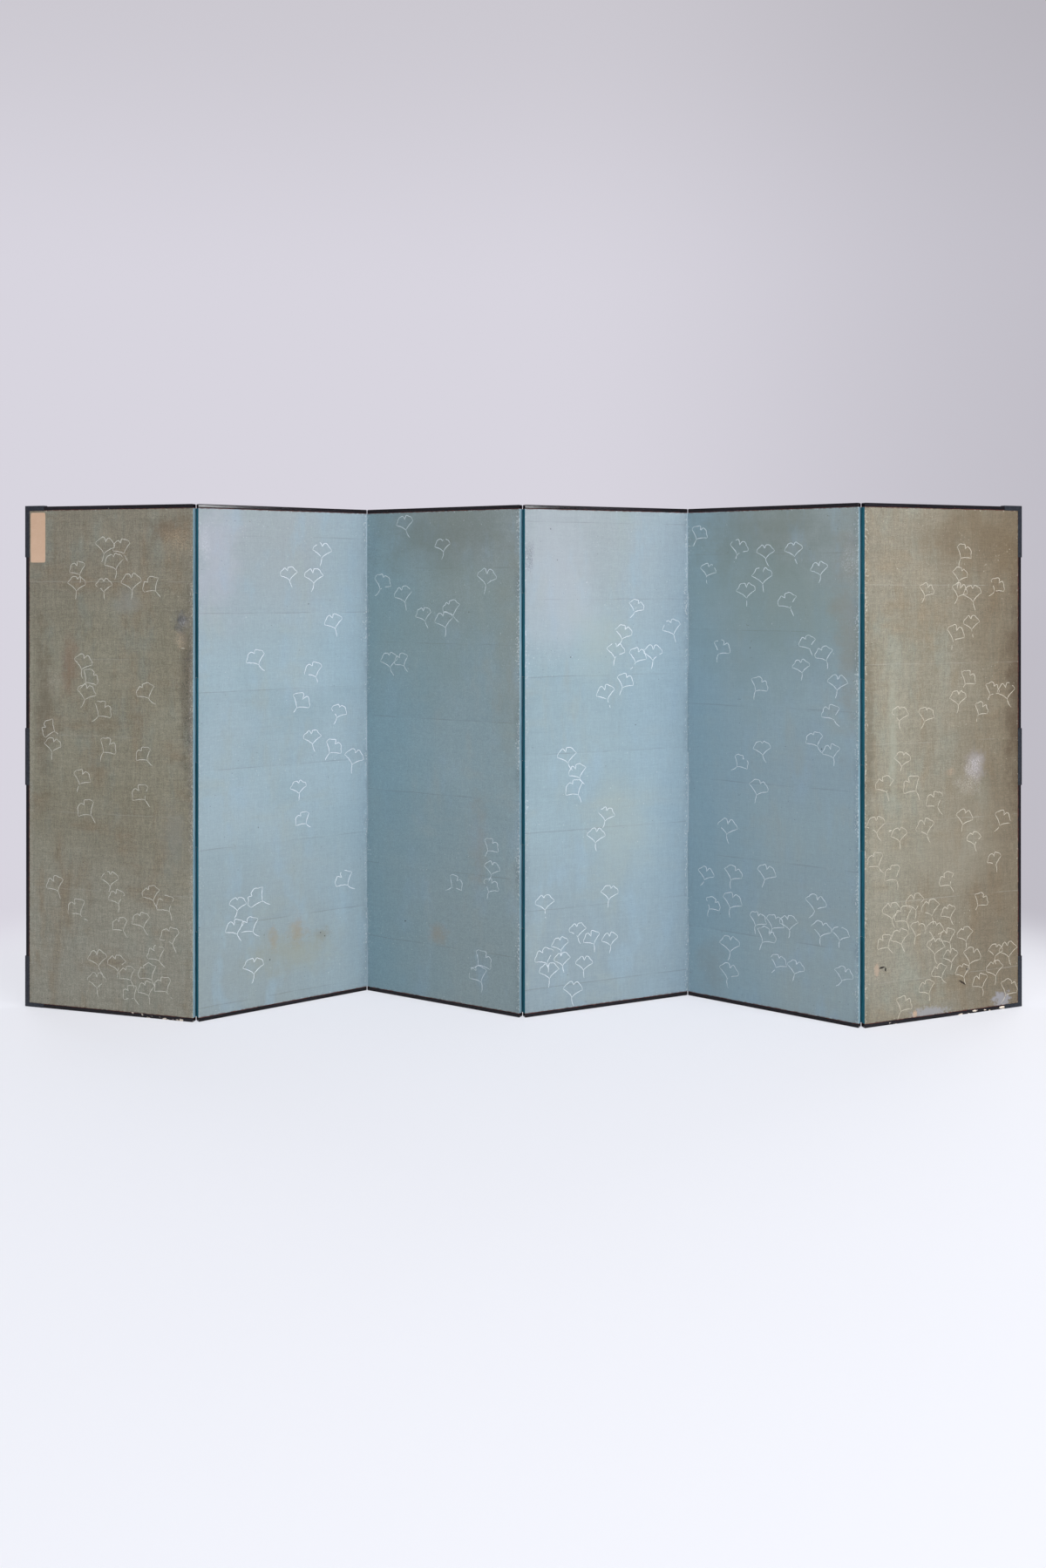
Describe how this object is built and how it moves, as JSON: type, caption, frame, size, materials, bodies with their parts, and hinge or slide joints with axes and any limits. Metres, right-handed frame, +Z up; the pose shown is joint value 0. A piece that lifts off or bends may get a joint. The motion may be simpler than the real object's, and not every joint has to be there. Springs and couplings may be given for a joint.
{
  "type": "folding screen",
  "caption": "Tall folding screen of paper-covered lattice panels in black lacquered rails, joined by paper hinges so that it stands in a zigzag or folds flat.",
  "frame": {"origin": "on the floor, at the centre of the plan of the screen as it stands", "axes": "+X to the right along the screen, +Y to its back, +Z up"},
  "size_m": [3.4336, 0.4376, 1.723],
  "materials": {
    "cedar_lattice": "matte",
    "lining_paper": "matte",
    "olive_ground": "matte",
    "blue_ground": "matte",
    "backing_paper": "matte",
    "pale_hinge_paper": "matte",
    "teal_hinge_paper": "matte",
    "black_lacquer": "gloss",
    "black_iron": "satin",
    "slip_paper": "matte"
  },
  "bodies": {
    "panel_1": {"hinge_1_2_left_strips": "pale_hinge_paper", "left_bottom_corner_fitting": "black_iron", "left_rail": "black_lacquer", "left_rail_nails": "black_iron", "left_side_fitting": "black_iron", "left_top_corner_fitting": "black_iron", "panel_1_backing": "backing_paper", "panel_1_bottom_rail": "black_lacquer", "panel_1_core": "cedar_lattice", "panel_1_painting": "olive_ground", "panel_1_top_rail": "black_lacquer", "panel_1_underlay": "lining_paper", "title_slip": "slip_paper"},
    "panel_2": {"hinge_1_2_right_strips": "teal_hinge_paper", "hinge_2_3_left_strips": "pale_hinge_paper", "panel_2_backing": "backing_paper", "panel_2_bottom_rail": "black_lacquer", "panel_2_core": "cedar_lattice", "panel_2_painting": "blue_ground", "panel_2_top_rail": "black_lacquer", "panel_2_underlay": "lining_paper"},
    "panel_3": {"hinge_2_3_right_strips": "teal_hinge_paper", "hinge_3_4_left_strips": "pale_hinge_paper", "panel_3_backing": "backing_paper", "panel_3_bottom_rail": "black_lacquer", "panel_3_core": "cedar_lattice", "panel_3_painting": "blue_ground", "panel_3_top_rail": "black_lacquer", "panel_3_underlay": "lining_paper"},
    "panel_4": {"hinge_3_4_right_strips": "teal_hinge_paper", "hinge_4_5_left_strips": "pale_hinge_paper", "panel_4_backing": "backing_paper", "panel_4_bottom_rail": "black_lacquer", "panel_4_core": "cedar_lattice", "panel_4_painting": "blue_ground", "panel_4_top_rail": "black_lacquer", "panel_4_underlay": "lining_paper"},
    "panel_5": {"hinge_4_5_right_strips": "teal_hinge_paper", "hinge_5_6_left_strips": "pale_hinge_paper", "panel_5_backing": "backing_paper", "panel_5_bottom_rail": "black_lacquer", "panel_5_core": "cedar_lattice", "panel_5_painting": "blue_ground", "panel_5_top_rail": "black_lacquer", "panel_5_underlay": "lining_paper"},
    "panel_6": {"hinge_5_6_right_strips": "teal_hinge_paper", "panel_6_backing": "backing_paper", "panel_6_bottom_rail": "black_lacquer", "panel_6_core": "cedar_lattice", "panel_6_painting": "olive_ground", "panel_6_top_rail": "black_lacquer", "panel_6_underlay": "lining_paper", "right_bottom_corner_fitting": "black_iron", "right_rail": "black_lacquer", "right_rail_nails": "black_iron", "right_side_fitting": "black_iron", "right_top_corner_fitting": "black_iron"}
  },
  "joints": [
    {"name": "fold_2_3", "type": "hinge", "parent": "panel_3", "child": "panel_2", "pos_m": [-0.56011, 0.20129, 0], "axis": [0, 0, 1], "range_deg": [-64.1, 115.9]},
    {"name": "fold_3_4", "type": "hinge", "parent": "panel_3", "child": "panel_4", "pos_m": [-0.00309, -0.09099, 0], "axis": [0, 0, 1], "range_deg": [-53.3, 126.7]},
    {"name": "fold_1_2", "type": "hinge", "parent": "panel_2", "child": "panel_1", "pos_m": [-1.09013, -0.1375, 0], "axis": [0, 0, -1], "range_deg": [-50.2, 129.8]},
    {"name": "fold_4_5", "type": "hinge", "parent": "panel_4", "child": "panel_5", "pos_m": [0.58103, 0.14249, 0], "axis": [0, 0, -1], "range_deg": [-58.6, 121.4]},
    {"name": "fold_5_6", "type": "hinge", "parent": "panel_5", "child": "panel_6", "pos_m": [1.10867, -0.2, 0], "axis": [0, 0, 1], "range_deg": [-56.3, 123.7]}
  ]
}
